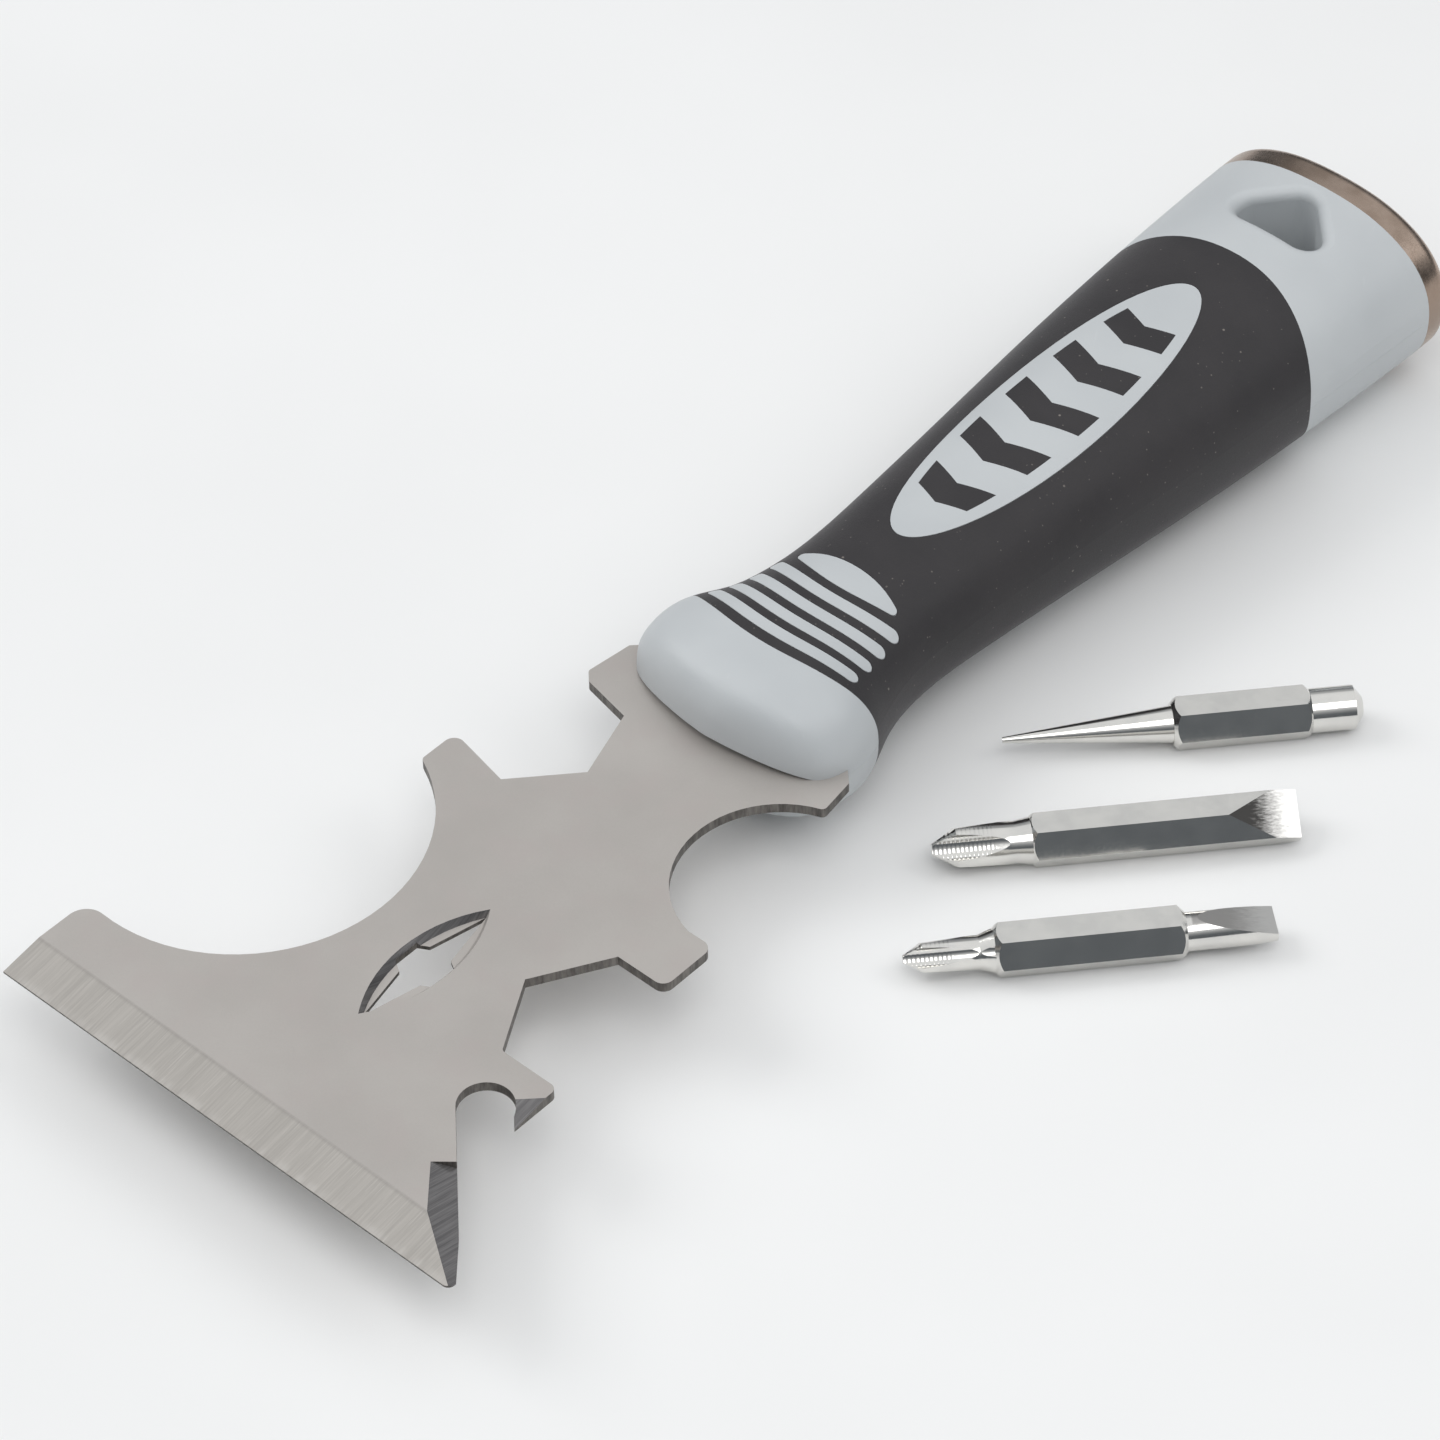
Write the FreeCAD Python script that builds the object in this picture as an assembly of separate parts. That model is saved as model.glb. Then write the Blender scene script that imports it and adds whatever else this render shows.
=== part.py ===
import FreeCAD, Part
import math
import os

from FreeCAD import Vector

# Painter's multi tool with a hammer-capped handle, lying on a table beside its
# three double-ended driver bits.  Millimetres.  While the pieces are modelled,
# +Y runs from the scraping edge to the hammer cap, X = 0 is the handle's axis
# and Z = 0 is the blade's middle plane; bits are modelled along +X.  At the end
# everything is set on the table, with the origin at the middle of the footprint.

# ---- blade ----
BLADE_T = 1.5                    # steel thickness
EDGE_WIDTH = 76.2                # scraping edge, 3 in
EDGE_OFFSET = -0.45              # middle of the edge from the handle's axis
EDGE_LAND = 0.3                  # thickness left at the scraping edge
BEVEL_WIDTH = 6.2                # ground bevel along the scraping edge
LEFT_SIDE_HEIGHT = 13.6          # height of the blade's left end
CORNER_R = 2.8                   # its rounded upper corner
POINT_LAND = 1.9                 # short upright end at the crack-opening point
POINT_R = 1.0
BIG_ROLLER_R = 23.8              # half-round for squeezing out large rollers
BIG_ROLLER_AT = (-34.2, 37.9)
SMALL_ROLLER_R = 13.9            # half-round for small rollers
SMALL_ROLLER_AT = (24.1, 73.5)
LARGE_WRENCH_AF = 20.64          # 13/16 in notch, jaws parallel to the edge
LARGE_WRENCH_ROOT = (11.35, 40.8)
SMALL_WRENCH_AF = 19.05          # 3/4 in notch
SMALL_WRENCH_ROOT = (-7.25, 71.9)
SMALL_WRENCH_TILT = 12.0         # degrees from the edge's direction
TOOTH_R = 1.5                    # rounded corners of the two side teeth
SMALL_R = 0.7                    # lightly broken corners
LEFT_TOOTH_X = -24.7
RIGHT_TOOTH_X = 25.0
RIGHT_TOOTH_TOP = 60.0
SHOULDER_HALF = 19.7             # blade half-width where it enters the handle
SHOULDER_TOP = 92.3
SHOULDER_TAPER = 0.8             # the shoulders draw in by this much
SHOULDER_CHAMFER = 1.4           # cut corner above the small wrench notch
OPENER_R = 3.6                   # bottle opener gap
OPENER_IN = 15.75                # its centre, in from the scraping edge's end
OPENER_UP = 22.9                 # and up from the edge
OPENER_END = 20.0                # direction of the gap's end at the hook
HOOK_OUT = 4.6                   # hook's outer side, out from the gap's centre
HOOK_BEVEL = 3.9                 # ground facet on the hook
CRACK_BEVEL = 3.1                # ground facet along the crack opener's side
CRACK_TOP = 14.2                 # where that facet starts
CRACK_SKEW = -4.0                # degrees that the facet runs out towards the point
DRIVER_CLEARANCE = 0.15          # hex hole's across-flats beyond the bits' own
DRIVER_Y = 34.85
LENS_HALF_LENGTH = 11.65         # nail-puller slots run to the tips of this lens
LENS_HALF_WIDTH = 3.75
LENS_DEPTH = 0.9                 # depth of the lens-shaped countersink
LENS_SLOPE = 0.8                 # how far its walls lean in over that depth
SLOT_HALF = 2.4                  # half-width of the two slots where they would meet

# ---- tang, moulded into the handle ----
TANG_HALF = 8.5
TANG_TO_SEAM = 17.6              # from the tang's end to the hammer cap's joint
TANG_CORNER_R = 3.0
TANG_HOLE_R = 3.2
TANG_HOLES = (112.0, 140.0, 168.0)

# ---- handle ----
SECTION_POWER = 2.3              # 2 is an ellipse, larger is squarer
SECTION_POINTS = 20
NOSE_POWER = 2.65                # the bolster's sections are squarer
NOSE_TIP = 85.5                  # foremost point of the bolster
NOSE_END = 98.0                  # where the bolster is widest
NOSE_HALF_W = 17.3
NOSE_HALF_T = 11.1
NOSE_PLAN = (4.4, 1.4)           # powers of the bolster's outline, seen from above
NOSE_PROFILE = (5.4, 3.2)        # and seen from the side, where its front is steep
NOSE_SHARES = (0.003, 0.02, 0.06, 0.13, 0.24, 0.4, 0.62, 1.0)
MOUTH_MARGIN = 1.2               # plastic left beside the recess in the bolster's front
MOUTH_GAP = 1.45                 # recess above and below the blade
MOUTH_DEPTH = 2.5
HANDLE_LENGTH = 113.6            # from there to the joint with the hammer cap
# behind the bolster: share of the handle's length, half-width, half-thickness
HANDLE_STATIONS = (
    (0.04, 15.8, 10.6),
    (0.09, 13.9, 10.1),
    (0.16, 12.8, 10.1),
    (0.265, 13.2, 10.7),
    (0.43, 14.8, 11.85),
    (0.6, 16.7, 12.7),
    (0.81, 18.5, 13.3),
)
END_HALF_W = 19.5
END_HALF_T = 13.3
HANDLE_SECTIONS = 18             # cross-sections the handle is drawn through
SKIN = 2.2                       # thickness of the soft grip
GRIP_REACH = 6.0                 # its end lines are drawn this far past the handle's sides
FRONT_LINE = 96.3                # grip's front boundary on the axis
FRONT_LINE_R = 34.0
COLLAR_LENGTH = 18.8             # hard collar behind the grip, on the axis
REAR_LINE_R = 32.0
GRIP_CLEARANCE = 0.08            # fine gap between the grip and the hard pads

# ---- windows in the grip where the hard handle shows ----
STRIPE_COUNT = 4
STRIPE_PITCH = 3.3
STRIPE_WIDTH = 1.85
STRIPE_Y = 98.95                 # middle of the first stripe
STRIPE_SAG = 2.0
STRIPE_HALF = 11.6               # half-length of the first stripe
STRIPE_TAPER = 0.6               # each stripe is this much shorter at each end
CRESCENT_HALF = 9.3
CRESCENT_END_Y = 113.5
CRESCENT_LOW = 111.15            # its front and rear edges on the axis
CRESCENT_HIGH = 115.4
BADGE_TO_SEAM = 58.0             # from the badge's middle to the hammer cap's joint
BADGE_HALF_LENGTH = 30.3
BADGE_HALF_WIDTH = 8.2
CHEVRON_COUNT = 5                # generic motif let into the badge
CHEVRON_PITCH = 9.6
CHEVRON_BAR = 4.4
CHEVRON_RISE = 3.0
CHEVRON_MARGIN = 1.9             # grey left around the motif
INLAY_DEPTH = 1.0

# ---- hang hole ----
HANG_TO_SEAM = 1.3               # from the triangle's sharp apex to the hammer cap's joint
HANG_HEIGHT = 10.4
HANG_HALF_BASE = 10.3
HANG_CORNER_R = 2.6
HANG_RIM_R = 1.5
HANG_MARGIN = 0.5                # its rim is looked for this far beyond its corners

# ---- hammer cap ----
CAP_LENGTH = 4.7
CAP_FACE_T = 2.4                 # steel behind the striking face
CAP_WALL = 1.3
CAP_EDGE_R = 1.9

# ---- bits ----
BIT_AF = 6.35                    # quarter-inch hex
BIT_LENGTH = 47.3
BIT_CHAMFER = 0.9
BIT_ANGLE = 49.0                 # direction of the bits on the table
BIT_JOIN = 1.0                   # neighbouring lengths of a bit run into each other
PUNCH_LENGTH = 22.2
PUNCH_TIP_R = 0.4
PUNCH_BASE_R = 2.45
HEAD_START = 40.6
HEAD_R = 2.95
HEAD_CHAMFER = 1.1               # along the head
HEAD_CHAMFER_DEPTH = 1.5         # and across it
CROSS_SLOPE = 1.45               # length of the cross tip's cone for each mm of radius
CROSS_LAND = 2.0                 # full shank behind the cone
CROSS_NECK = 1.8                 # shoulder that leads up to the hexagon
FLUTE_SHARE = 0.62               # flute's radius as a share of the shank's
FLUTE_TURN = 45.0
TAIL_LAND = 1.5                  # round stub left ahead of a ground blade
LARGE_BIT = {
    "hex_start": 12.4, "hex_end": 37.9, "shank_r": 3.0, "neck_r": 2.75, "tip_r": 0.9,
    "core_r": 0.75, "tail_r": 4.0, "blade_half": 0.5, "blade_turn": 30.0,
}
SMALL_BIT = {
    "hex_start": 11.4, "hex_end": 35.8, "shank_r": 2.25, "neck_r": 2.2, "tip_r": 0.6,
    "core_r": 0.5, "tail_r": 2.5, "blade_half": 0.4, "blade_turn": 0.0,
}
NAIL_SET_AT = (21.6, 119.3)      # where each bit's tip lies
LARGE_BIT_AT = (27.65, 98.3)
SMALL_BIT_AT = (37.3, 81.5)

SEAM_Y = NOSE_END + HANDLE_LENGTH
BADGE_Y = SEAM_Y - BADGE_TO_SEAM
DRIVER_AF = BIT_AF + DRIVER_CLEARANCE

UP = Vector(0, 0, 1)
AXIS = Vector(0, 1, 0)
SIN60 = math.sin(math.radians(60))
NEAR = 0.3                       # an edge this close to a corner stands on it
FAR = 60.0                       # reaches past the tool from its middle plane


def point(x, y, z=0.0):
    return Vector(x, y, z)


def polar(angle, radius):
    """Offset at an angle in degrees from +X, in plan."""
    turn = math.radians(angle)
    return Vector(radius * math.cos(turn), radius * math.sin(turn), 0)


def arc(start, middle, end):
    return Part.Arc(start, middle, end).toShape()


def line(start, end):
    return Part.LineSegment(start, end).toShape()


def lines(path):
    return [line(a, b) for a, b in zip(path, path[1:])]


def prism(edges, low, high):
    """Upright solid over a closed outline drawn at z = 0."""
    face = Part.Face(Part.Wire(Part.__sortEdges__(edges)))
    face.translate(Vector(0, 0, low))
    return face.extrude(Vector(0, 0, high - low))


def polygon_prism(corners, low, high):
    return prism(lines(corners + corners[:1]), low, high)


def upright_edges(solid, places):
    """The solid's upright edges that stand at the given places in plan."""
    found = []
    for edge in solid.Edges:
        box = edge.BoundBox
        if box.XLength > 1e-6 or box.YLength > 1e-6:
            continue
        if any(math.hypot(box.XMin - p.x, box.YMin - p.y) < NEAR for p in places):
            found.append(edge)
    return found


def half_chord(radius, offset):
    """Half of a circle's chord at a distance from its centre."""
    return math.sqrt(radius * radius - offset * offset)


# ---------------------------------------------------------------- blade

def edge_ends():
    """X of the scraping edge's left and right ends."""
    return EDGE_OFFSET - EDGE_WIDTH / 2, EDGE_OFFSET + EDGE_WIDTH / 2


def opener_centre():
    return point(edge_ends()[1] - OPENER_IN, OPENER_UP)


def wrench_corners(root, across_flats, opening):
    """The two jaws' inner ends, for a hexagonal notch that opens in a direction."""
    side = across_flats / 2 / SIN60
    return [root + polar(opening + turn, side) for turn in (60, -60)]


def blade_body():
    """The flat plate with its notches and tang, its corners rounded."""
    left, right = edge_ends()
    opener = opener_centre()
    big = point(*BIG_ROLLER_AT)
    small = point(*SMALL_ROLLER_AT)
    large_root = point(*LARGE_WRENCH_ROOT)
    small_root = point(*SMALL_WRENCH_ROOT)

    # right side, from the crack-opening point up to the handle
    high_end, low_end = wrench_corners(large_root, LARGE_WRENCH_AF, 0)
    apart = (opener.x + opener.y - right - POINT_LAND) / 2
    gap_start = opener - point(apart, apart)
    gap_end = opener + polar(OPENER_END, OPENER_R)
    edge_points = [point(left, 0), point(right, 0), point(right, POINT_LAND), gap_start]
    hook_tip = opener + point(HOOK_OUT, 0)
    hook_corner = point(hook_tip.x, low_end.y)
    tooth_low = point(RIGHT_TOOTH_X, high_end.y)
    tooth_high = point(RIGHT_TOOTH_X, RIGHT_TOOTH_TOP)
    tooth_reach = half_chord(SMALL_ROLLER_R, small.y - RIGHT_TOOTH_TOP)
    tooth_in = point(small.x - tooth_reach, RIGHT_TOOTH_TOP)
    shoulder_reach = half_chord(SMALL_ROLLER_R, small.x - SHOULDER_HALF)
    shoulder = point(SHOULDER_HALF, small.y + shoulder_reach)
    right_side = [
        gap_end, hook_tip, hook_corner, low_end, large_root, high_end,
        tooth_low, tooth_high, tooth_in,
    ]

    # handle end and left side, back down to the scraping edge
    narrow = SHOULDER_HALF - SHOULDER_TAPER
    tang_foot = SHOULDER_TOP + narrow - TANG_HALF
    small_opening = 180 - SMALL_WRENCH_TILT
    lower_end, upper_end = wrench_corners(small_root, SMALL_WRENCH_AF, small_opening)
    slope = math.tan(math.radians(SMALL_WRENCH_TILT))
    cut_x = SHOULDER_CHAMFER - SHOULDER_HALF
    jaw_tip = point(cut_x, upper_end.y + (upper_end.x - cut_x) * slope)
    left_shoulder = point(-SHOULDER_HALF, jaw_tip.y + SHOULDER_CHAMFER)
    tooth_top = point(LEFT_TOOTH_X, lower_end.y + (lower_end.x - LEFT_TOOTH_X) * slope)
    tooth_foot = point(LEFT_TOOTH_X, big.y + half_chord(BIG_ROLLER_R, LEFT_TOOTH_X - big.x))
    corner = point(left, big.y - half_chord(BIG_ROLLER_R, left - big.x))
    tang_end = SEAM_Y - TANG_TO_SEAM
    tang_corners = [point(TANG_HALF, tang_end), point(-TANG_HALF, tang_end)]
    left_side = [
        shoulder, point(narrow, SHOULDER_TOP), point(TANG_HALF, tang_foot), *tang_corners,
        point(-TANG_HALF, tang_foot), point(-narrow, SHOULDER_TOP), left_shoulder, jaw_tip,
        upper_end, small_root, lower_end, tooth_top, tooth_foot,
    ]

    edges = lines(edge_points)
    edges.append(arc(gap_start, opener + polar(135, OPENER_R), gap_end))
    edges += lines(right_side)
    edges.append(arc(tooth_in, small + polar(180, SMALL_ROLLER_R), shoulder))
    edges += lines(left_side)
    edges.append(arc(tooth_foot, big + polar(-20, BIG_ROLLER_R), corner))
    edges.append(line(corner, edge_points[0]))
    plate = prism(edges, -BLADE_T / 2, BLADE_T / 2)
    rounding = (
        (CORNER_R, [corner]),
        (TOOTH_R, [tooth_top, tooth_low, tooth_high]),
        (POINT_R, [edge_points[1], hook_corner]),
        (SMALL_R, [tooth_foot, tooth_in, shoulder, left_shoulder, jaw_tip, low_end]),
        (TANG_CORNER_R, tang_corners),
    )
    for radius, places in rounding:
        plate = plate.makeFillet(radius, upright_edges(plate, places))
    return plate


def wedge(origin, along, down, length, width, depth):
    """Sharp-ended wedge that planes a bevel off the blade's top face.

    The bevel starts at origin on the top face, follows the unit vector along,
    and falls by depth over its width in the unit direction down.
    """
    top = BLADE_T / 2
    start = origin + UP * top
    rise = UP * depth
    reach = width * 2
    section = [start, start + down * reach - rise * 2, start + down * reach + rise, start + rise]
    face = Part.Face(Part.makePolygon(section + section[:1]))
    return face.extrude(along * length)


def blade_bevels():
    """Wedges for the scraping edge, the crack opener and the hook."""
    left, right = edge_ends()
    fall = BLADE_T - EDGE_LAND
    over = BEVEL_WIDTH
    start = point(left - over, BEVEL_WIDTH)
    scraper = wedge(start, point(1, 0), point(0, -1), EDGE_WIDTH + 2 * over, BEVEL_WIDTH, fall)
    outward = polar(45, 1)
    start = point(right + POINT_LAND - CRACK_TOP, CRACK_TOP) - outward * CRACK_BEVEL
    along = polar(-45 + CRACK_SKEW, 1)
    crack = wedge(start, along, polar(45 + CRACK_SKEW, 1), FAR, CRACK_BEVEL, fall)
    falling = polar(-45, 1)
    start = opener_centre() + point(HOOK_OUT, 0) - falling * HOOK_BEVEL - outward * OPENER_R / 2
    hook = wedge(start, outward, falling, OPENER_R * 3, HOOK_BEVEL, fall)
    return [scraper, crack, hook]


def lens_wire(half_length, half_width, height):
    """Pointed oval in plan, its long way along the axis."""
    tips = [point(0, DRIVER_Y - half_length, height), point(0, DRIVER_Y + half_length, height)]
    sides = [point(x, DRIVER_Y, height) for x in (-half_width, half_width)]
    return Part.Wire([arc(tips[0], sides[0], tips[1]), arc(tips[1], sides[1], tips[0])])


def driver_hole():
    """Hexagonal socket with two nail slots, under a lens-shaped countersink."""
    centre = point(0, DRIVER_Y)
    hexagon = [centre + polar(90 + 60 * k, DRIVER_AF / 2 / SIN60) for k in range(6)]
    slots = point(0, LENS_HALF_LENGTH - LENS_SLOPE)
    side = point(SLOT_HALF, 0)
    rhomb = [centre + slots, centre + side, centre - slots, centre - side]
    through = polygon_prism(hexagon, -FAR, FAR).fuse(polygon_prism(rhomb, -FAR, FAR))
    grow = LENS_SLOPE
    top = lens_wire(LENS_HALF_LENGTH + grow, LENS_HALF_WIDTH + grow, BLADE_T / 2 + LENS_DEPTH)
    low = lens_wire(LENS_HALF_LENGTH - grow, LENS_HALF_WIDTH - grow, BLADE_T / 2 - LENS_DEPTH)
    return through.fuse(Part.makeLoft([low, top], True, True))


def build_blade():
    blade = blade_body()
    for cutter in blade_bevels():
        blade = blade.cut(cutter)
    blade = blade.cut(driver_hole())
    for y in TANG_HOLES:
        blade = blade.cut(Part.makeCylinder(TANG_HOLE_R, 2 * FAR, point(0, y, -FAR)))
    return blade


# ---------------------------------------------------------------- handle

def section(y, half_width, half_thickness, power=SECTION_POWER):
    """Superellipse across the handle's axis at y, as one closed curve."""
    count = SECTION_POINTS
    places = []
    for k in range(count):
        turn = 2 * math.pi * (k + 0.5) / count
        c = math.cos(turn)
        s = math.sin(turn)
        x = half_width * math.copysign(abs(c) ** (2 / power), c)
        z = half_thickness * math.copysign(abs(s) ** (2 / power), s)
        places.append(Vector(x, y, z))
    curve = Part.BSplineCurve()
    curve.interpolate(places, PeriodicFlag=True, Parameters=[k / count for k in range(count + 1)])
    return Part.Wire([curve.toShape()])


def nose_stations():
    """(y, half-width, half-thickness, power) along the rounded bolster."""
    rows = []
    for share in NOSE_SHARES:
        y = NOSE_TIP + (NOSE_END - NOSE_TIP) * share
        s = 1 - share
        half_width = NOSE_HALF_W * (1 - s ** NOSE_PLAN[0]) ** (1 / NOSE_PLAN[1])
        half_thickness = NOSE_HALF_T * (1 - s ** NOSE_PROFILE[0]) ** (1 / NOSE_PROFILE[1])
        rows.append((y, half_width, half_thickness, NOSE_POWER))
    return rows


def handle_stations():
    """(y, half-width, half-thickness, power), closely spaced along the whole handle."""
    given = [Vector(NOSE_END, NOSE_HALF_W, NOSE_HALF_T)]
    given += [Vector(NOSE_END + HANDLE_LENGTH * share, a, b) for share, a, b in HANDLE_STATIONS]
    given.append(Vector(SEAM_Y, END_HALF_W, END_HALF_T))
    curve = Part.BSplineCurve()
    curve.interpolate(given)
    first, last = curve.FirstParameter, curve.LastParameter
    steps = HANDLE_SECTIONS
    smooth = [curve.value(first + (last - first) * k / steps) for k in range(1, steps + 1)]
    return nose_stations() + [(v.x, v.y, v.z, SECTION_POWER) for v in smooth]


def handle_form(inset=0.0):
    """Outer shape of the whole handle, or the same drawn in by an inset."""
    stations = handle_stations()
    if inset:
        stations = [row for row in stations if min(row[1], row[2]) > inset * 2]
    wires = [section(y, a - inset, b - inset, power) for y, a, b, power in stations]
    return Part.makeLoft(wires, True, False)


def mouth(form):
    """Recess in the bolster's front, thickest over the middle of the blade."""
    half_width = NOSE_HALF_W - MOUTH_MARGIN
    oval = Part.Ellipse(Vector(0, 0, 0), half_width, BLADE_T / 2 + MOUTH_GAP).toShape()
    face = Part.Face(Part.Wire([oval]))
    face.rotate(Vector(0, 0, 0), Vector(1, 0, 0), 90)
    face.translate(point(0, NOSE_TIP - MOUTH_DEPTH))
    slot = face.extrude(AXIS * (NOSE_END - NOSE_TIP + MOUTH_DEPTH))
    return slot.cut(form.translated(AXIS * MOUTH_DEPTH))


def grip_band():
    """Block between the grip's two curved ends."""
    half = END_HALF_W + GRIP_REACH
    front_sag = FRONT_LINE_R - half_chord(FRONT_LINE_R, half)
    rear_sag = REAR_LINE_R - half_chord(REAR_LINE_R, half)
    front = [point(-half, FRONT_LINE + front_sag), point(half, FRONT_LINE + front_sag)]
    rear_line = SEAM_Y - COLLAR_LENGTH
    rear = [point(half, rear_line - rear_sag), point(-half, rear_line - rear_sag)]
    edges = [
        arc(front[0], point(0, FRONT_LINE), front[1]), line(front[1], rear[0]),
        arc(rear[0], point(0, rear_line), rear[1]), line(rear[1], front[0]),
    ]
    return prism(edges, -FAR, FAR)


def stripe_window(index, grow):
    """Curved stripe with round ends, upright through the handle."""
    half = STRIPE_HALF - STRIPE_TAPER * index
    middle = STRIPE_Y + STRIPE_PITCH * index
    radius = (half * half + STRIPE_SAG * STRIPE_SAG) / 2 / STRIPE_SAG
    centre = point(0, middle + radius)
    turn = math.degrees(math.asin(half / radius))
    width = STRIPE_WIDTH / 2 + grow
    edges = []
    for reach in (radius - width, radius + width):
        places = [centre + polar(-90 + side * turn, reach) for side in (-1, 0, 1)]
        edges.append(arc(*places))
    for side in (-1, 1):
        end = -90 + side * turn
        tip = centre + polar(end, radius) + polar(end + side * 90, width)
        near = centre + polar(end, radius - width)
        far = centre + polar(end, radius + width)
        edges.append(arc(near, tip, far))
    return prism(edges, -FAR, FAR)


def crescent_window(grow):
    """Crescent behind the stripes."""
    ends = [point(-CRESCENT_HALF - grow, CRESCENT_END_Y), point(CRESCENT_HALF + grow, CRESCENT_END_Y)]
    low = arc(ends[0], point(0, CRESCENT_LOW - grow), ends[1])
    high = arc(ends[1], point(0, CRESCENT_HIGH + grow), ends[0])
    window = prism([low, high], -FAR, FAR)
    return window.makeFillet(SMALL_R, upright_edges(window, ends))


def badge_window(grow):
    """Oval badge."""
    centre = point(0, BADGE_Y)
    oval = Part.Ellipse(centre, BADGE_HALF_LENGTH + grow, BADGE_HALF_WIDTH + grow).toShape()
    oval.rotate(centre, UP, 90)
    return prism([oval], -FAR, FAR)


def windows(grow=0.0):
    shapes = [stripe_window(k, grow) for k in range(STRIPE_COUNT)]
    return shapes + [crescent_window(grow), badge_window(grow)]


def hang_hole():
    """Rounded triangle through the handle's end."""
    apex = point(0, SEAM_Y - HANG_TO_SEAM)
    base = apex - point(0, HANG_HEIGHT)
    corners = [base - point(HANG_HALF_BASE, 0), base + point(HANG_HALF_BASE, 0), apex]
    hole = polygon_prism(corners, -FAR, FAR)
    return hole.makeFillet(HANG_CORNER_R, upright_edges(hole, corners))


def chevrons():
    """Row of plain chevrons pointing at the blade, trimmed to the badge's oval."""
    field = badge_window(-CHEVRON_MARGIN)
    solids = []
    row = CHEVRON_PITCH * (CHEVRON_COUNT - 1) + CHEVRON_BAR + CHEVRON_RISE
    half = BADGE_HALF_WIDTH
    for k in range(CHEVRON_COUNT):
        nib = point(0, BADGE_Y - row / 2 + CHEVRON_PITCH * k)
        right = nib + point(half, CHEVRON_RISE)
        left = nib + point(-half, CHEVRON_RISE)
        bar = point(0, CHEVRON_BAR)
        outline = [nib, right, right + bar, nib + bar, left + bar, left]
        solids.append(polygon_prism(outline, -FAR, FAR).common(field))
    return solids


def build_grip(form, inner):
    """Soft sleeve over the hard handle, with its windows."""
    sleeve = form.common(grip_band()).cut(inner)
    for window in windows(GRIP_CLEARANCE):
        sleeve = sleeve.cut(window)
    return sleeve


def build_motif(form):
    """Islands let into both faces of the badge."""
    deep = handle_form(INLAY_DEPTH)
    islands = []
    for chevron in chevrons():
        islands += chevron.common(form).cut(deep).Solids
    return Part.makeCompound(islands)


def build_core(form, inner, blade, motif):
    """Hard handle: bolster, window pads, tail and the body under the grip."""
    band = grip_band()
    core = form.cut(band).fuse(inner.common(band))
    for window in windows():
        core = core.fuse(form.common(band).common(window))
    boss = handle_end(-CAP_WALL, CAP_LENGTH - CAP_FACE_T)
    core = core.fuse(boss).removeSplitter()
    core = core.cut(hang_hole())
    core = core.makeFillet(HANG_RIM_R, rim_edges(core))
    return core.cut(blade).cut(motif).cut(mouth(form))


def rim_edges(core):
    """Edges of the hang hole on both faces of the handle."""
    found = []
    for edge in core.Edges:
        box = edge.BoundBox
        across = abs(box.Center.x) < HANG_HALF_BASE
        apex = SEAM_Y - HANG_TO_SEAM + HANG_MARGIN
        along = apex - HANG_HEIGHT - 2 * HANG_MARGIN < box.YMin and box.YMax < apex
        outer = box.ZLength < END_HALF_T and abs(box.Center.z) > END_HALF_T / 2
        if across and along and outer:
            found.append(edge)
    return found


# ---------------------------------------------------------------- hammer cap

def handle_end(grow, length):
    """Handle's end section, grown and drawn out behind the seam."""
    face = Part.Face(section(SEAM_Y, END_HALF_W + grow, END_HALF_T + grow))
    return face.extrude(AXIS * length)


def build_cap():
    """Pressed steel cup over the handle's end."""
    cup = handle_end(0, CAP_LENGTH)
    outer = [e for e in cup.Edges if e.BoundBox.YMin > SEAM_Y + CAP_LENGTH / 2]
    cup = cup.makeFillet(CAP_EDGE_R, outer)
    return cup.cut(handle_end(-CAP_WALL, CAP_LENGTH - CAP_FACE_T))


# ---------------------------------------------------------------- bits

def hex_bar(start, end):
    """Hexagonal bar along X with a flat underneath and chamfered ends."""
    radius = BIT_AF / 2 / SIN60
    corners = []
    for k in range(6):
        turn = math.radians(60 * k)
        corners.append(Vector(start, radius * math.cos(turn), radius * math.sin(turn)))
    bar = Part.Face(Part.makePolygon(corners + corners[:1])).extrude(Vector(end - start, 0, 0))
    small = radius - BIT_CHAMFER
    limit = turned((
        (start, small), (start + BIT_CHAMFER, radius), (end - BIT_CHAMFER, radius), (end, small),
    ))
    return bar.common(limit)


def turned(profile):
    """Solid of revolution about X from (distance, radius) pairs."""
    outline = [Vector(profile[0][0], 0, 0)]
    outline += [Vector(x, 0, radius) for x, radius in profile]
    outline.append(Vector(profile[-1][0], 0, 0))
    face = Part.Face(Part.makePolygon(outline + outline[:1]))
    return face.revolve(Vector(0, 0, 0), Vector(1, 0, 0), 360)


def cross_flutes(size):
    """Four round-bottomed flutes that run out along the shank."""
    length = size["hex_start"] - CROSS_NECK
    radius = size["shank_r"] * FLUTE_SHARE
    rise = size["shank_r"] - size["core_r"]
    run = Vector(length, 0, rise).normalize()
    start = Vector(0, 0, size["core_r"] + radius) - run
    flutes = []
    for k in range(4):
        flute = Part.makeCylinder(radius, length * 2, start, run)
        flute.rotate(Vector(0, 0, 0), Vector(1, 0, 0), 90 * k + FLUTE_TURN)
        flutes.append(flute)
    return flutes


def cross_tip(size):
    """Fluted cross tip on a shank that leads up to the hexagon."""
    cone = (size["shank_r"] - size["tip_r"]) * CROSS_SLOPE
    tip = turned((
        (0, size["tip_r"]), (cone, size["shank_r"]), (cone + CROSS_LAND, size["shank_r"]),
        (size["hex_start"] - CROSS_NECK, size["neck_r"]), (size["hex_start"] + BIT_JOIN, BIT_AF / 2),
    ))
    for flute in cross_flutes(size):
        tip = tip.cut(flute)
    return tip


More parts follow.
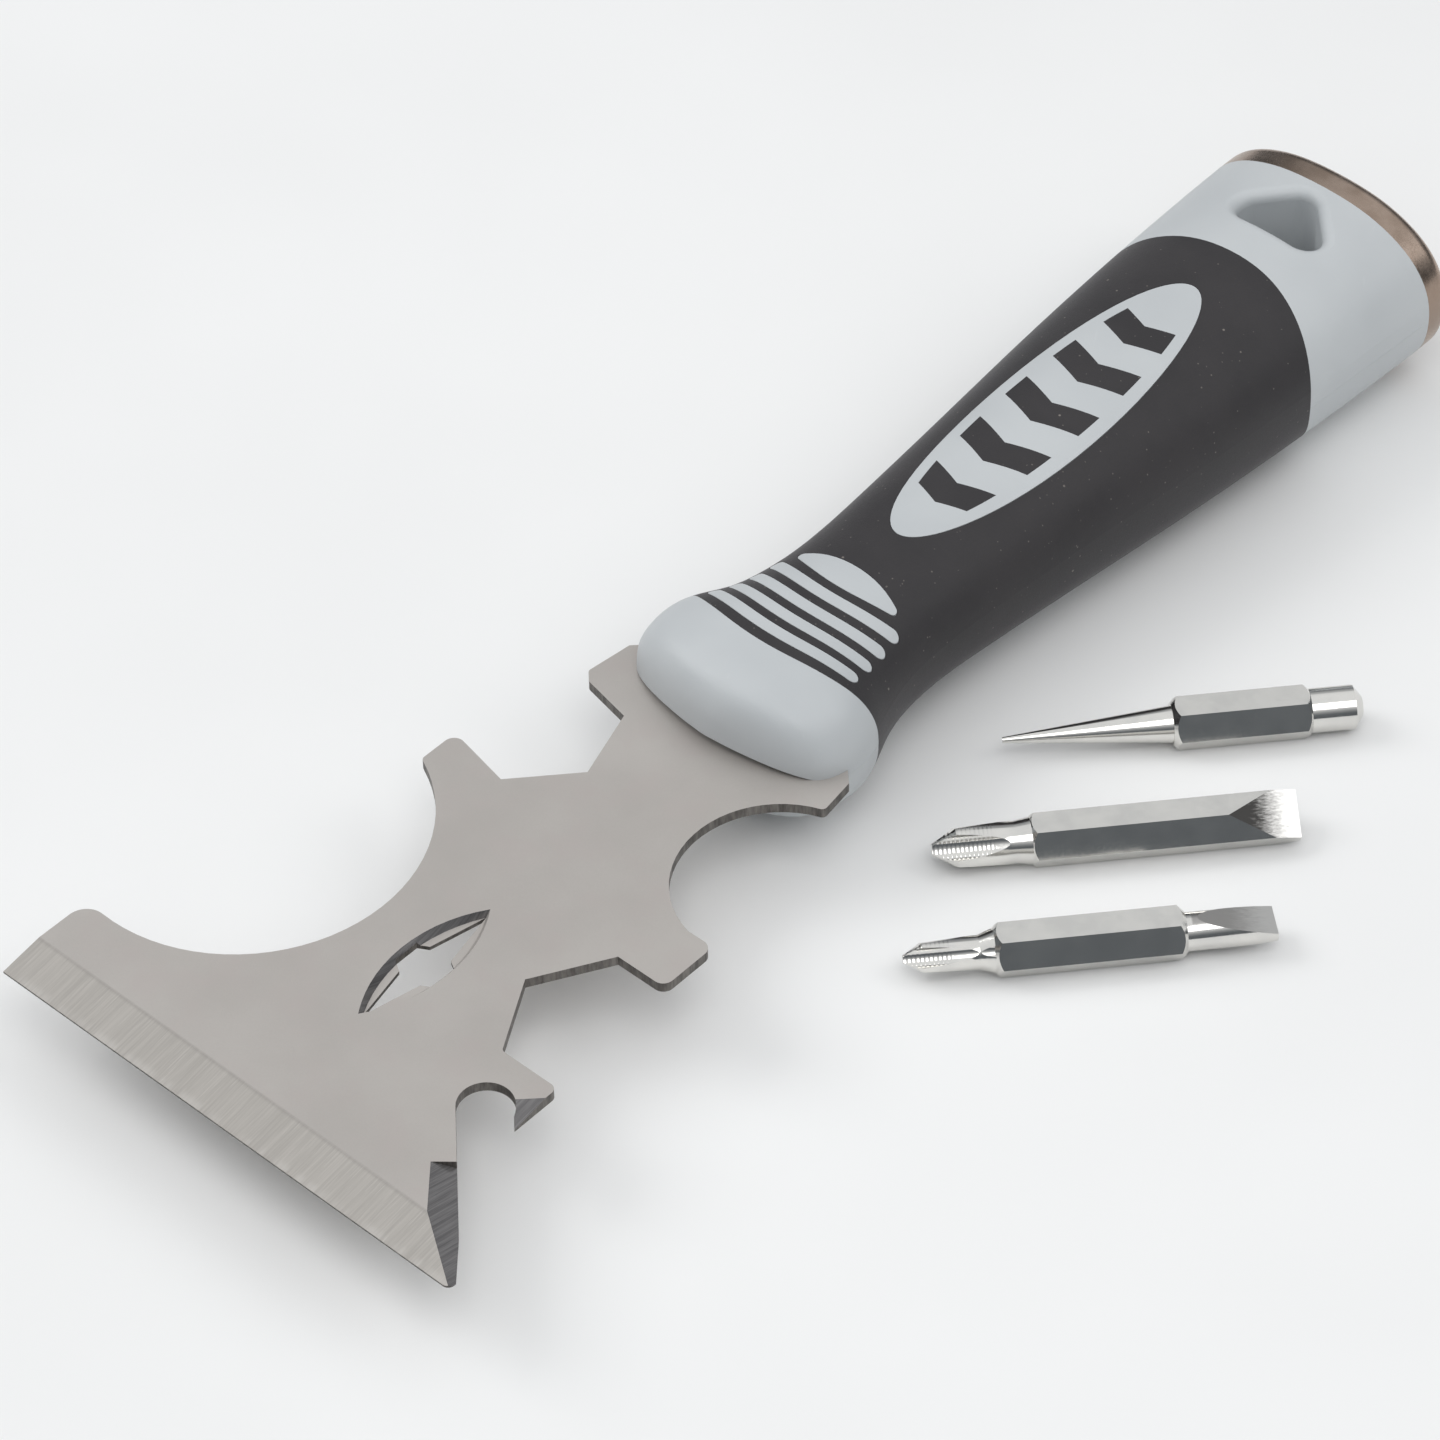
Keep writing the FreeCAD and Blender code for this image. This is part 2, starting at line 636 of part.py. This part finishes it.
def cheeks(start, root_half, tip_half, turn):
    """Two blocks that grind a tapered screwdriver blade between them."""
    end = BIT_LENGTH + BIT_JOIN
    width = BIT_AF
    blocks = []
    for side in (1, -1):
        corners = [
            Vector(start, -width, side * root_half), Vector(end, -width, side * tip_half),
            Vector(end, -width, side * width), Vector(start, -width, side * width),
        ]
        block = Part.Face(Part.makePolygon(corners + corners[:1])).extrude(Vector(0, 2 * width, 0))
        block.rotate(Vector(0, 0, 0), Vector(1, 0, 0), turn)
        blocks.append(block)
    return blocks


def build_nail_set():
    """Tapered punch, hexagonal body and a round head to strike."""
    body_start = PUNCH_LENGTH + BIT_JOIN
    punch = turned(((0, PUNCH_TIP_R), (PUNCH_LENGTH, PUNCH_BASE_R), (body_start, PUNCH_BASE_R)))
    head = turned((
        (HEAD_START - BIT_JOIN, HEAD_R), (BIT_LENGTH - HEAD_CHAMFER, HEAD_R),
        (BIT_LENGTH, HEAD_R - HEAD_CHAMFER_DEPTH),
    ))
    return punch.fuse(hex_bar(PUNCH_LENGTH, HEAD_START)).fuse(head)


def build_driver(size):
    """Double-ended bit: cross tip, hexagonal body, slotted blade.

    The blade is ground on the hexagon itself where the tail is wider than it,
    and on a round stub where the tail is narrower.
    """
    on_hexagon = size["tail_r"] > BIT_AF / 2
    if on_hexagon:
        past_end = BIT_LENGTH + BIT_CHAMFER
        bar = hex_bar(size["hex_start"], past_end).common(turned(((0, FAR), (BIT_LENGTH, FAR))))
        root_start = size["hex_end"]
        root_half = BIT_AF / 2 / SIN60
    else:
        stub = turned(((size["hex_end"] - BIT_JOIN, size["tail_r"]), (BIT_LENGTH, size["tail_r"])))
        bar = hex_bar(size["hex_start"], size["hex_end"]).fuse(stub)
        root_start = size["hex_end"] + TAIL_LAND
        root_half = size["tail_r"]
    for block in cheeks(root_start, root_half, size["blade_half"], size["blade_turn"]):
        bar = bar.cut(block)
    return cross_tip(size).fuse(bar)


def lay(bit, place):
    """Set a bit down on one of its flats, its tip at a place on the table."""
    bit.translate(Vector(0, 0, BIT_AF / 2))
    bit.rotate(Vector(0, 0, 0), UP, BIT_ANGLE)
    bit.translate(point(*place))
    return bit


# ---------------------------------------------------------------- the set

def build_all():
    blade = build_blade()
    form = handle_form()
    inner = handle_form(SKIN)
    motif = build_motif(form)
    tool = {
        "blade": blade,
        "handle_core": build_core(form, inner, blade, motif),
        "soft_grip": build_grip(form, inner),
        "badge_motif": motif,
        "hammer_cap": build_cap(),
    }
    rest = max([END_HALF_T] + [row[2] for row in HANDLE_STATIONS])
    for shape in tool.values():
        shape.translate(Vector(0, 0, rest))
    bits = {
        "nail_set_bit": lay(build_nail_set(), NAIL_SET_AT),
        "large_driver_bit": lay(build_driver(LARGE_BIT), LARGE_BIT_AT),
        "small_driver_bit": lay(build_driver(SMALL_BIT), SMALL_BIT_AT),
    }
    return {**tool, **bits}


def main():
    parts = build_all()
    box = Part.makeCompound(list(parts.values())).optimalBoundingBox()
    home = Vector(-box.Center.x, -box.Center.y, -box.ZMin)
    os.makedirs("parts", exist_ok=True)
    for name, shape in parts.items():
        shape.translate(home)
        shape.exportStep("parts/" + name + ".step")
    print("origin moved by", home)
    for name, shape in parts.items():
        print(name, shape.isValid(), len(shape.Solids), round(shape.Volume, 1))


if __name__ == "__main__":
    main()
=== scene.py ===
import math

import bpy
from mathutils import Matrix, Vector
from mathutils.bvhtree import BVHTree


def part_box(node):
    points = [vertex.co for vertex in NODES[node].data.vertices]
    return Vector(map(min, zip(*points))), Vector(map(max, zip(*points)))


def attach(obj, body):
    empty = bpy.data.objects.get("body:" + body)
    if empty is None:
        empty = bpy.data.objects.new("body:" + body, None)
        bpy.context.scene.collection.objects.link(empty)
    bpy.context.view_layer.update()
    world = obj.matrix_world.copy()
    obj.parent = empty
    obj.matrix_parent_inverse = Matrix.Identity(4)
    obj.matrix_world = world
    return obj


# Painter's multi tool lying on a table beside its three driver bits.
# Metres, in the CAD frame: +Y from the scraping edge to the hammer cap, +Z up.

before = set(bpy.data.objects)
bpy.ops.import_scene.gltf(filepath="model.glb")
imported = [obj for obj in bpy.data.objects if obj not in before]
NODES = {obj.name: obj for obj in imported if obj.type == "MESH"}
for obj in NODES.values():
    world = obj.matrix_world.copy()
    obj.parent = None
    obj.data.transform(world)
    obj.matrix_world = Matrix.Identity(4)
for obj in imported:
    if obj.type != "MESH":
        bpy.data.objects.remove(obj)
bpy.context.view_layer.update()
BLADE_LOW, BLADE_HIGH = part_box("blade")
CAP_LOW, CAP_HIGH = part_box("hammer_cap")
AXIS_X = (CAP_LOW.x + CAP_HIGH.x) / 2          # handle's axis
MID_Z = (BLADE_LOW.z + BLADE_HIGH.z) / 2       # blade's middle plane
EDGE_Y = BLADE_LOW.y                           # scraping edge

MM = 0.001
BEVEL_WIDTH = 6.2 * MM                         # ground bevel behind the scraping edge
GRIND_LINE = 0.6 * MM                          # darker line where that bevel starts
RIB_PITCH = 0.55 * MM                          # fine ribs on the bits' cross tips
RIB_RUN_OUT = 0.8 * MM
FACET_REFLECTION_DARK = 4.0 * MM                          # painted reflection on a ground facet is dark this far past its start
FACET_REFLECTION_BRIGHT = 10.0 * MM                       # and bright from here on
FACET_REFLECTION_RAGGED = 5.0 * MM                        # how unevenly the one runs into the other
SEAM_RADIUS = 0.13 * MM                        # raised mould line along the hard plastic
SEAM_STEP = 0.8 * MM
SEAM_SEARCH = 100.0 * MM                       # its points are looked for from this far out
FLOOR_HALF = 3.0

# For each bit: how far its ribs run, where its ground facets start, how far those are
# rolled from flat in degrees, and how dark the painted reflection on them starts.
BITS = {
    "nail_set_bit": (0.0, 1.0, 0.0, 0.3),
    "large_driver_bit": (9.0 * MM, 37.9 * MM, 30.0, 0.035),
    "small_driver_bit": (7.0 * MM, 37.3 * MM, 0.0, 0.42),
}

# ---- camera: where it looks, from which side, and its framing ----
LOOK_AT = (-0.01665, -0.01836, 0.01427)
LOOK_AZIMUTH = -42.98                          # 0 looks along +Y
LOOK_ELEVATION = 44.94
LOOK_ROLL = -1.145
LOOK_DISTANCE = 0.76585
LENS = 150.0                                   # millimetres, on a 36 mm sensor
SENSOR = 36.0


# ---------------------------------------------------------------- node helpers

class Shader:
    """A material with its Principled shader, and short calls to add nodes."""

    def __init__(self, name):
        self.material = bpy.data.materials.new(name)
        self.material.use_nodes = True
        self.nodes = self.material.node_tree.nodes
        self.links = self.material.node_tree.links
        self.surface = self.nodes["Principled BSDF"]
        coordinates = self.add("ShaderNodeTexCoord")
        self.place = coordinates.outputs["Object"]
        self.normal = coordinates.outputs["Normal"]

    def add(self, kind, **settings):
        node = self.nodes.new(kind)
        for key, value in settings.items():
            setattr(node, key, value)
        return node

    def feed(self, socket, value):
        if isinstance(value, bpy.types.NodeSocket):
            self.links.new(value, socket)
        else:
            socket.default_value = value

    def set(self, **values):
        for key, value in values.items():
            self.feed(self.surface.inputs[key.replace("_", " ")], value)

    def math(self, operation, a, b=0.0):
        node = self.add("ShaderNodeMath", operation=operation)
        self.feed(node.inputs[0], a)
        self.feed(node.inputs[1], b)
        return node.outputs[0]

    def dot(self, vector, direction):
        node = self.add("ShaderNodeVectorMath", operation="DOT_PRODUCT")
        self.feed(node.inputs[0], vector)
        node.inputs[1].default_value = direction
        return node.outputs["Value"]

    def split(self, vector):
        node = self.add("ShaderNodeSeparateXYZ")
        self.feed(node.inputs[0], vector)
        return node.outputs

    def stretch(self, scale, turn=0.0):
        """Object coordinates turned about Z, then scaled."""
        turned = self.add("ShaderNodeMapping", vector_type="TEXTURE")
        self.feed(turned.inputs["Vector"], self.place)
        turned.inputs["Rotation"].default_value = (0, 0, math.radians(turn))
        scaled = self.add("ShaderNodeMapping")
        self.feed(scaled.inputs["Vector"], turned.outputs[0])
        scaled.inputs["Scale"].default_value = scale
        return scaled.outputs[0]

    def noise(self, scale, detail=3.0, roughness=0.55, vector=None):
        node = self.add("ShaderNodeTexNoise")
        self.feed(node.inputs["Vector"], self.place if vector is None else vector)
        node.inputs["Scale"].default_value = scale
        node.inputs["Detail"].default_value = detail
        node.inputs["Roughness"].default_value = roughness
        return node.outputs["Fac"]

    def spots(self, scale, radius, softness):
        """1 in small round spots, one in each Voronoi cell of the scale."""
        node = self.add("ShaderNodeTexVoronoi")
        self.feed(node.inputs["Vector"], self.place)
        node.inputs["Scale"].default_value = scale
        return self.ramp(node.outputs["Distance"], radius, radius - softness)

    def ramp(self, value, low, high, to_low=0.0, to_high=1.0):
        """Smooth step of a value from low to high."""
        node = self.add("ShaderNodeMapRange", interpolation_type="SMOOTHSTEP")
        for socket, number in zip(node.inputs, (value, low, high, to_low, to_high)):
            self.feed(socket, number)
        return node.outputs[0]

    def mix(self, factor, a, b):
        node = self.add("ShaderNodeMix", data_type="RGBA")
        self.feed(node.inputs["Factor"], factor)
        for socket, value in ((node.inputs[6], a), (node.inputs[7], b)):
            if isinstance(value, tuple):
                value = (*value, 1.0)
            self.feed(socket, value)
        return node.outputs[2]

    def blend(self, factor, a, b):
        """Number a where the factor is 0 and b where it is 1."""
        node = self.add("ShaderNodeMix", data_type="FLOAT")
        self.feed(node.inputs["Factor"], factor)
        self.feed(node.inputs[2], a)
        self.feed(node.inputs[3], b)
        return node.outputs[0]

    def bump(self, height, depth, under=None):
        """Normal from a height that runs from 0 to 1 over a real depth in metres."""
        node = self.add("ShaderNodeBump")
        node.inputs["Distance"].default_value = depth
        self.feed(node.inputs["Height"], height)
        if under is not None:
            self.feed(node.inputs["Normal"], under)
        return node.outputs[0]


# ---------------------------------------------------------------- materials

def blade_material():
    """Satin plate, ground bevels with streaks, darker sheared side walls, and painted shade on
    facets that tilt towards +X.
    """
    s = Shader("blade_steel")
    along = s.math("SUBTRACT", s.split(s.place)[1], EDGE_Y)
    facing = s.split(s.normal)
    upright = s.math("ABSOLUTE", facing[2])
    wall = s.ramp(upright, 0.45, 0.25)
    bevel = s.ramp(along, BEVEL_WIDTH + 0.25 * MM, BEVEL_WIDTH - 0.15 * MM)
    # painted shade mask: facets that tilt towards +X, which are coloured dark for the dark they
    # reflect
    shaded_facet = s.math("MULTIPLY", s.ramp(facing[0], 0.1, 0.2), s.ramp(upright, 0.985, 0.975))

    grain = s.noise(5200, 4.0, 0.7)
    cloud = s.noise(55, 3.0)
    warm = s.noise(140, 3.0)
    streak = s.noise(1.0, 4.0, 0.7, s.stretch((4600, 100, 100)))
    wide_streak = s.noise(1.0, 3.0, 0.5, s.stretch((620, 40, 40)))
    hairline = s.ramp(s.noise(1.0, 2.0, 0.6, s.stretch((5200, 160, 160))), 0.62, 0.70)
    shear = s.noise(1.0, 3.0, 0.6, s.stretch((1500, 1500, 260)))

    mottle = s.ramp(s.blend(0.4, cloud, grain), 0.3, 0.7)
    flat = s.mix(mottle, (0.485, 0.455, 0.428), (0.545, 0.515, 0.485))
    flat = s.mix(s.math("MULTIPLY", s.ramp(warm, 0.45, 0.7), 0.35), flat, (0.52, 0.465, 0.445))
    streaks = s.ramp(s.blend(0.2, streak, wide_streak), 0.3, 0.7)
    ground = s.mix(streaks, (0.365, 0.345, 0.32), (0.46, 0.435, 0.405))
    ground = s.mix(s.math("MULTIPLY", hairline, 0.3), ground, (0.60, 0.575, 0.54))
    worn = s.math("MULTIPLY", s.ramp(along, 1.4 * MM, 0.2 * MM), s.ramp(wide_streak, 0.4, 0.6))
    ground = s.mix(s.math("MULTIPLY", worn, 0.3), ground, (0.60, 0.58, 0.55))
    # painted shade: the dark colour laid on those facets
    facet = s.mix(s.ramp(streak, 0.3, 0.7), (0.125, 0.12, 0.122), (0.24, 0.232, 0.232))
    grind_line = s.math("MULTIPLY", bevel, s.ramp(along, BEVEL_WIDTH - GRIND_LINE, BEVEL_WIDTH))
    ground = s.mix(s.math("MULTIPLY", grind_line, 0.45), ground, (0.27, 0.25, 0.235))
    colour = s.mix(shaded_facet, s.mix(bevel, flat, ground), facet)
    cut = s.mix(s.ramp(shear, 0.3, 0.7), (0.10, 0.093, 0.086), (0.22, 0.205, 0.19))
    s.set(Base_Color=s.mix(wall, colour, cut), Metallic=s.blend(wall, 0.55, 0.88), Anisotropic=0.2)

    fine = s.blend(bevel, grain, streak)
    rough = s.ramp(fine, 0.25, 0.75, 0.43, 0.52)
    rough = s.blend(shaded_facet, rough, 0.24)
    s.set(Roughness=s.blend(wall, rough, 0.5))
    skin = s.bump(fine, 0.006 * MM)
    s.set(Normal=s.bump(s.math("MULTIPLY", shear, wall), 0.03 * MM, skin))
    return s.material


def hard_plastic_material():
    """Light blue-grey moulded plastic with a fine spark-eroded skin."""
    s = Shader("hard_plastic")
    cloud = s.noise(45, 3.0)
    grain = s.noise(5500, 3.0, 0.6)
    colour = s.mix(s.ramp(cloud, 0.3, 0.7), (0.525, 0.548, 0.562), (0.565, 0.588, 0.60))
    scuff = s.ramp(s.noise(1.0, 3.0, 0.6, s.stretch((900, 120, 900), 35)), 0.66, 0.74)
    s.set(Base_Color=s.mix(s.math("MULTIPLY", scuff, 0.12), colour, (0.66, 0.69, 0.7)))
    s.set(Roughness=s.ramp(s.blend(0.4, cloud, grain), 0.3, 0.7, 0.40, 0.50))
    s.set(Normal=s.bump(grain, 0.012 * MM), Specular_IOR_Level=0.42, IOR=1.49)
    return s.material


def soft_rubber_material():
    """Near-black soft-touch rubber, matt, with a little pale dust on it."""
    s = Shader("soft_rubber")
    cloud = s.noise(70, 4.0, 0.6)
    grain = s.noise(4200, 4.0, 0.65)
    colour = s.mix(s.ramp(cloud, 0.3, 0.7), (0.027, 0.025, 0.027), (0.037, 0.034, 0.036))
    thin_out = s.ramp(s.noise(900, 2.0), 0.52, 0.6)
    dust = s.math("MULTIPLY", s.spots(1000, 0.16, 0.08), thin_out)
    lint = s.math("MULTIPLY", s.spots(380, 0.085, 0.045), s.ramp(s.noise(300, 1.0), 0.48, 0.58))
    specks = s.math("MAXIMUM", s.math("MULTIPLY", dust, 0.35), s.math("MULTIPLY", lint, 0.65))
    s.set(Base_Color=s.mix(specks, colour, (0.30, 0.27, 0.24)))
    s.set(Roughness=s.ramp(s.blend(0.5, cloud, grain), 0.3, 0.7, 0.52, 0.66))
    s.set(Normal=s.bump(grain, 0.02 * MM), Specular_IOR_Level=0.38, IOR=1.5)
    s.set(Sheen_Weight=0.12, Sheen_Roughness=0.5, Sheen_Tint=(0.8, 0.78, 0.8, 1.0))
    return s.material


def cap_material():
    """Pressed steel, nickel plated with a warm tint, handled and lightly scratched."""
    s = Shader("cap_metal")
    cloud = s.noise(160, 4.0, 0.6)
    fine = s.noise(2600, 4.0, 0.7)
    drawn = s.noise(1.0, 3.0, 0.6, s.stretch((500, 2600, 500)))
    colour = s.mix(s.ramp(cloud, 0.3, 0.7), (0.34, 0.258, 0.205), (0.47, 0.37, 0.305))
    stain = s.ramp(s.noise(420, 3.0), 0.58, 0.75)
    s.set(Base_Color=s.mix(s.math("MULTIPLY", stain, 0.5), colour, (0.30, 0.23, 0.18)))
    s.set(Metallic=1.0, Roughness=s.ramp(s.blend(0.5, cloud, fine), 0.3, 0.7, 0.2, 0.34))
    s.set(Normal=s.bump(s.blend(0.5, drawn, fine), 0.008 * MM))
    return s.material


def bit_material(node, ribs, blade, roll, reflection_dark):
    """Polished nickel plate over a turned and ground bar.

    The cross tip carries fine ribs as far as ribs along the bit.  Beyond blade,
    the two broad facets of the screwdriver end, rolled by an angle from flat,
    are ground and carry a painted reflection: dark at their start and bright at the tip.
    """
    s = Shader(node + "_metal")
    low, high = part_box(node)
    turn = math.atan2(high.y - low.y, high.x - low.x)
    places = s.split(s.place)
    east = s.math("MULTIPLY", s.math("SUBTRACT", places[0], low.x), math.cos(turn))
    north = s.math("MULTIPLY", s.math("SUBTRACT", places[1], low.y), math.sin(turn))
    along = s.math("ADD", east, north)
    cloud = s.noise(260, 3.0)
    fine = s.noise(3000, 4.0, 0.65)
    ripple = s.noise(420, 2.0, 0.4)
    grinding = s.noise(1.0, 3.0, 0.65, s.stretch((160, 3600, 3600), math.degrees(turn)))
    lean = math.sin(math.radians(roll))
    facet = (lean * math.sin(turn), -lean * math.cos(turn), math.cos(math.radians(roll)))
    facing = s.ramp(s.math("ABSOLUTE", s.dot(s.normal, facet)), 0.90, 0.93)
    ground = s.math("MULTIPLY", s.ramp(along, blade - 0.3 * MM, blade), facing)
    colour = s.mix(s.ramp(cloud, 0.3, 0.7), (0.70, 0.69, 0.665), (0.77, 0.757, 0.725))
    # painted reflection: the ground facets run from dark at their start to bright at the tip, as a
    # hollow grind would reflect
    ragged = s.math("MULTIPLY", s.math("SUBTRACT", grinding, 0.5), FACET_REFLECTION_RAGGED)
    reach = s.math("ADD", along, ragged)
    reflection_fade = s.ramp(reach, blade + FACET_REFLECTION_DARK, blade + FACET_REFLECTION_BRIGHT)
    painted_reflection = s.mix(reflection_fade, (reflection_dark, reflection_dark * 0.97, reflection_dark * 0.94), (0.70, 0.69, 0.67))
    s.set(Base_Color=s.mix(ground, colour, painted_reflection), Metallic=1.0)
    s.set(Roughness=s.blend(ground, s.ramp(fine, 0.3, 0.7, 0.09, 0.15), 0.3))
    rib = s.math("SINE", s.math("MULTIPLY", along, 2 * math.pi / RIB_PITCH))
    rib = s.math("MULTIPLY", rib, s.ramp(along, ribs, ribs - RIB_RUN_OUT))
    skin = s.bump(ripple, 0.008 * MM, s.bump(fine, 0.0012 * MM))
    s.set(Normal=s.bump(rib, 0.018 * MM, skin))
    return s.material


def floor_material():
    """Pale matt table top."""
    s = Shader("pale_floor")
    cloud = s.noise(9, 3.0)
    grain = s.noise(1500, 3.0)
    s.set(Base_Color=s.mix(s.ramp(cloud, 0.3, 0.7), (0.86, 0.86, 0.855), (0.89, 0.89, 0.885)))
    s.set(Roughness=s.ramp(grain, 0.3, 0.7, 0.7, 0.8), Specular_IOR_Level=0.2)
    return s.material


def dress(names, material):
    """Give CAD nodes a material through their objects' slots."""
    for name in names:
        for slot in NODES[name].material_slots:
            slot.link = "OBJECT"
            slot.material = material


# ---------------------------------------------------------------- studio

def look_direction():
    azimuth = math.radians(LOOK_AZIMUTH)
    elevation = math.radians(LOOK_ELEVATION)
    level = math.cos(elevation)
    return Vector((math.sin(azimuth) * level, math.cos(azimuth) * level, -math.sin(elevation)))


def make_camera():
    data = bpy.data.cameras.new("camera")
    data.lens = LENS
    data.sensor_width = SENSOR
    data.clip_start = 0.01
    camera = bpy.data.objects.new("camera", data)
    bpy.context.scene.collection.objects.link(camera)
    forward = look_direction()
    level = forward.to_track_quat("-Z", "Y").to_matrix()
    turn = level @ Matrix.Rotation(math.radians(LOOK_ROLL), 3, "Z")
    place = Vector(LOOK_AT) - forward * LOOK_DISTANCE
    camera.matrix_world = Matrix.Translation(place) @ turn.to_4x4()
    bpy.context.scene.camera = camera


def make_floor(material):
    half = FLOOR_HALF
    mesh = bpy.data.meshes.new("floor")
    corners = [(-half, -half, 0), (half, -half, 0), (half, half, 0), (-half, half, 0)]
    mesh.from_pydata(corners, [], [(0, 1, 2, 3)])
    mesh.materials.append(material)
    floor = bpy.data.objects.new("floor", mesh)
    bpy.context.scene.collection.objects.link(floor)


def softbox(name, place, width, height, power, colour=(1.0, 1.0, 1.0)):
    """Area light that points at the middle of the tool."""
    data = bpy.data.lights.new(name, "AREA")
    data.shape = "RECTANGLE"
    data.size = width
    data.size_y = height
    data.energy = power
    data.color = colour
    lamp = bpy.data.objects.new(name, data)
    lamp.location = place
    aim = Vector((0, 0, MID_Z)) - Vector(place)
    lamp.rotation_euler = aim.to_track_quat("-Z", "Y").to_euler()
    bpy.context.scene.collection.objects.link(lamp)


def make_world():
    """White studio: bright overhead, falling to a dark band near the horizon."""
    world = bpy.data.worlds.new("studio")
    bpy.context.scene.world = world
    world.use_nodes = True
    nodes = world.node_tree.nodes
    links = world.node_tree.links
    coordinates = nodes.new("ShaderNodeTexCoord")
    parts = nodes.new("ShaderNodeSeparateXYZ")
    ramp = nodes.new("ShaderNodeValToRGB")
    links.new(coordinates.outputs["Generated"], parts.inputs[0])
    links.new(parts.outputs[2], ramp.inputs[0])
    links.new(ramp.outputs[0], nodes["Background"].inputs[0])
    stops = ((0.0, 0.12), (0.30, 0.15), (0.50, 0.34), (0.70, 0.74), (0.86, 0.88))
    cool = 0.012
    elements = ramp.color_ramp.elements
    while len(elements) < len(stops):
        elements.new(0.5)
    for element, (place, level) in zip(elements, stops):
        element.position = place
        element.color = (level - cool, level, level + cool, 1.0)
    nodes["Background"].inputs[1].default_value = 1.0


def make_lights():
    softbox("key_light", (-1.1, -0.5, 1.0), 0.8, 0.8, 6.5)
    softbox("fill_light", (0.9, 0.6, 1.0), 0.7, 0.7, 2.6)
    softbox("top_light", (0.55, -0.45, 1.3), 0.8, 0.8, 4.5)
    bpy.context.scene.view_settings.view_transform = "Standard"


# ---------------------------------------------------------------- added pieces

def outermost(tree, side, y):
    """Where the handle's side lies at y in the blade's middle plane, or None."""
    start = Vector((AXIS_X + side * SEAM_SEARCH, y, MID_Z))
    return tree.ray_cast(start, Vector((-side, 0, 0)))[0]


def add_mould_lines():
    """Fine raised line on both sides of the hard plastic, where the mould closed."""
    graph = bpy.context.evaluated_depsgraph_get()
    core = BVHTree.FromObject(NODES["handle_core"], graph)
    grip = BVHTree.FromObject(NODES["soft_grip"], graph)
    for side, name in ((-1, "left_mould_line"), (1, "right_mould_line")):
        data = bpy.data.curves.new(name, "CURVE")
        data.dimensions = "3D"
        data.bevel_depth = SEAM_RADIUS
        data.bevel_resolution = 2
        data.use_fill_caps = True
        runs = [[]]
        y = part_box("handle_core")[0].y
        while y < CAP_LOW.y:
            on_core = outermost(core, side, y)
            on_grip = outermost(grip, side, y)
            shown = on_core is not None and (on_grip is None or (on_core.x - on_grip.x) * side > 0)
            if shown:
                runs[-1].append(on_core)
            elif runs[-1]:
                runs.append([])
            y += SEAM_STEP
        for run in runs:
            if len(run) < 3:
                continue
            spline = data.splines.new("POLY")
            spline.points.add(len(run) - 1)
            for place, target in zip(run, spline.points):
                target.co = (place.x - side * SEAM_RADIUS / 2, place.y, place.z, 1.0)
        data.materials.append(NODES["handle_core"].material_slots[0].material)
        line = bpy.data.objects.new(name, data)
        bpy.context.scene.collection.objects.link(line)
        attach(line, "tool")


# ---------------------------------------------------------------- run

dress(["blade"], blade_material())
dress(["handle_core"], hard_plastic_material())
dress(["soft_grip", "badge_motif"], soft_rubber_material())
dress(["hammer_cap"], cap_material())
for bit, look in BITS.items():
    dress([bit], bit_material(bit, *look))
add_mould_lines()
make_floor(floor_material())
make_world()
make_lights()
make_camera()
